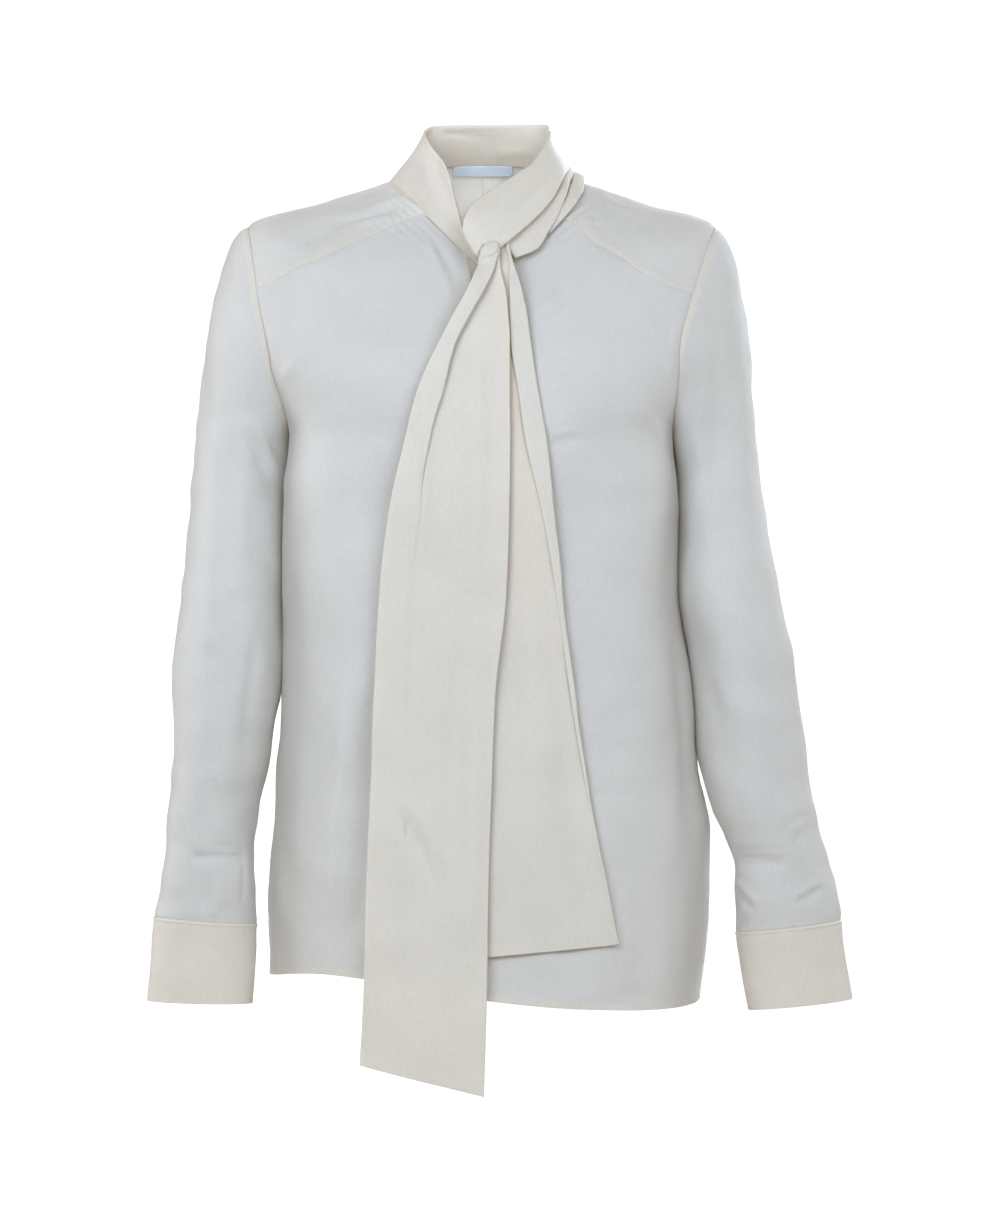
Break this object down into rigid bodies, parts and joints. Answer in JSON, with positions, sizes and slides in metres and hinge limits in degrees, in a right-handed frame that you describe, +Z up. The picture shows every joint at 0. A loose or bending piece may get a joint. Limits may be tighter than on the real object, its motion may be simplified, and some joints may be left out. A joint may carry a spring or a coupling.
{
  "type": "silk blouse",
  "caption": "Long-sleeved silk blouse with a standing collar that ties in a knot, in the hollow form it has when worn.",
  "frame": {"origin": "base of the neck, midway between the points where the shoulders carry the blouse", "axes": "+X towards the wearer's left, +Y towards the back, +Z up; the front faces -Y"},
  "size_m": [0.5938, 0.2666, 0.8186],
  "materials": {
    "silk_crepe": "ivory silk crepe, one layer, soft sheen",
    "silk_crepe_double": "ivory silk crepe, two layers, so a little warmer and denser",
    "label_satin": "pale blue-grey woven satin, blank"
  },
  "bodies": {
    "root": {"front_right": "silk_crepe", "front_left": "silk_crepe", "back": "silk_crepe", "yoke_right": "silk_crepe", "yoke_left": "silk_crepe", "sleeve_right": "silk_crepe", "sleeve_left": "silk_crepe", "cuff_right": "silk_crepe_double", "cuff_left": "silk_crepe_double", "collar_band": "silk_crepe_double", "tie_swath": "silk_crepe_double", "tie_fold_middle": "silk_crepe_double", "tie_fold_outer": "silk_crepe_double", "tie_knot": "silk_crepe_double", "tie_tail_long": "silk_crepe_double", "tie_tail_short": "silk_crepe_double", "neck_label": "label_satin"}
  },
  "joints": []
}
